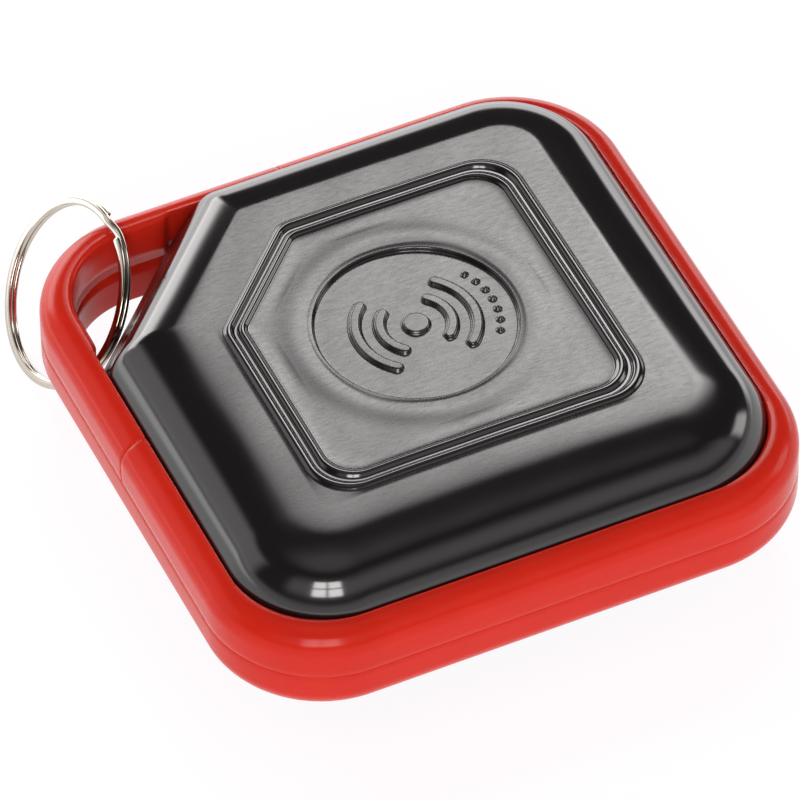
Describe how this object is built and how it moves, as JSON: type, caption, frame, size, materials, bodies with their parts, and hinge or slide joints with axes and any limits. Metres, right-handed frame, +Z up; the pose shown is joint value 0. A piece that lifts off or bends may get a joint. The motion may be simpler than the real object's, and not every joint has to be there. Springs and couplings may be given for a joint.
{
  "type": "key ring shaker",
  "caption": "Palm-size percussion shaker on a split key ring: a square frame with a corner loop clamps two domed hollow shells that hold loose steel shot.",
  "frame": {"origin": "centre of the lower shell's flat underside, which it stands on", "axes": "+Z up through the thickness, sides along X and Y, the key ring's corner at -X, +Y"},
  "size_m": [0.064, 0.0715, 0.0215],
  "materials": {
    "red_plastic": "glossy red ABS",
    "black_plastic": "glossy black ABS, finely brushed on the flat",
    "nickel": "nickel-plated spring steel",
    "shot_steel": "bright rolled steel"
  },
  "bodies": {
    "shaker": {"frame_lower": "red_plastic", "frame_upper": "red_plastic", "corner_bow": "red_plastic", "shell_top": "black_plastic", "shell_bottom": "black_plastic"},
    "key_ring": {"key_ring": "nickel"},
    "shot_01": {"shot_01": "shot_steel"},
    "shot_02": {"shot_02": "shot_steel"},
    "shot_03": {"shot_03": "shot_steel"},
    "shot_04": {"shot_04": "shot_steel"},
    "shot_05": {"shot_05": "shot_steel"},
    "shot_06": {"shot_06": "shot_steel"},
    "shot_07": {"shot_07": "shot_steel"},
    "shot_08": {"shot_08": "shot_steel"},
    "shot_09": {"shot_09": "shot_steel"},
    "shot_10": {"shot_10": "shot_steel"},
    "shot_11": {"shot_11": "shot_steel"},
    "shot_12": {"shot_12": "shot_steel"},
    "shot_13": {"shot_13": "shot_steel"},
    "shot_14": {"shot_14": "shot_steel"},
    "shot_15": {"shot_15": "shot_steel"},
    "shot_16": {"shot_16": "shot_steel"}
  },
  "joints": [
    {"name": "key_ring_tip", "type": "hinge", "parent": "shaker", "child": "key_ring", "pos_m": [-0.02585, 0.0295, 0.00872], "axis": [0, 1, 0], "range_deg": [-40, 0]},
    {"name": "shot_01_roll", "type": "slide", "parent": "shaker", "child": "shot_01", "axis": [1, 0, 0], "range_m": [-0.0161, 0.0239]},
    {"name": "shot_02_roll", "type": "slide", "parent": "shaker", "child": "shot_02", "axis": [1, 0, 0], "range_m": [-0.03485, 0.01047]},
    {"name": "shot_03_roll", "type": "slide", "parent": "shaker", "child": "shot_03", "axis": [1, 0, 0], "range_m": [-0.02524, 0.02076]},
    {"name": "shot_04_roll", "type": "slide", "parent": "shaker", "child": "shot_04", "axis": [1, 0, 0], "range_m": [-0.0153, 0.03069]},
    {"name": "shot_05_roll", "type": "slide", "parent": "shaker", "child": "shot_05", "axis": [1, 0, 0], "range_m": [-0.03137, 0.01463]},
    {"name": "shot_06_roll", "type": "slide", "parent": "shaker", "child": "shot_06", "axis": [1, 0, 0], "range_m": [-0.02144, 0.02456]},
    {"name": "shot_07_roll", "type": "slide", "parent": "shaker", "child": "shot_07", "axis": [1, 0, 0], "range_m": [-0.01151, 0.03449]},
    {"name": "shot_08_roll", "type": "slide", "parent": "shaker", "child": "shot_08", "axis": [1, 0, 0], "range_m": [-0.02758, 0.01843]},
    {"name": "shot_09_roll", "type": "slide", "parent": "shaker", "child": "shot_09", "axis": [1, 0, 0], "range_m": [-0.01765, 0.02836]},
    {"name": "shot_10_roll", "type": "slide", "parent": "shaker", "child": "shot_10", "axis": [1, 0, 0], "range_m": [-0.03372, 0.01229]},
    {"name": "shot_11_roll", "type": "slide", "parent": "shaker", "child": "shot_11", "axis": [1, 0, 0], "range_m": [-0.02378, 0.02223]},
    {"name": "shot_12_roll", "type": "slide", "parent": "shaker", "child": "shot_12", "axis": [1, 0, 0], "range_m": [-0.01288, 0.03215]},
    {"name": "shot_13_roll", "type": "slide", "parent": "shaker", "child": "shot_13", "axis": [1, 0, 0], "range_m": [-0.02894, 0.01308]},
    {"name": "shot_14_roll", "type": "slide", "parent": "shaker", "child": "shot_14", "axis": [1, 0, 0], "range_m": [-0.01601, 0.02301]},
    {"name": "shot_15_roll", "type": "slide", "parent": "shaker", "child": "shot_15", "axis": [1, 0, 0], "range_m": [-0.00308, 0.03259]},
    {"name": "shot_16_roll", "type": "slide", "parent": "shaker", "child": "shot_16", "axis": [1, 0, 0], "range_m": [-0.01615, 0.01388]}
  ]
}
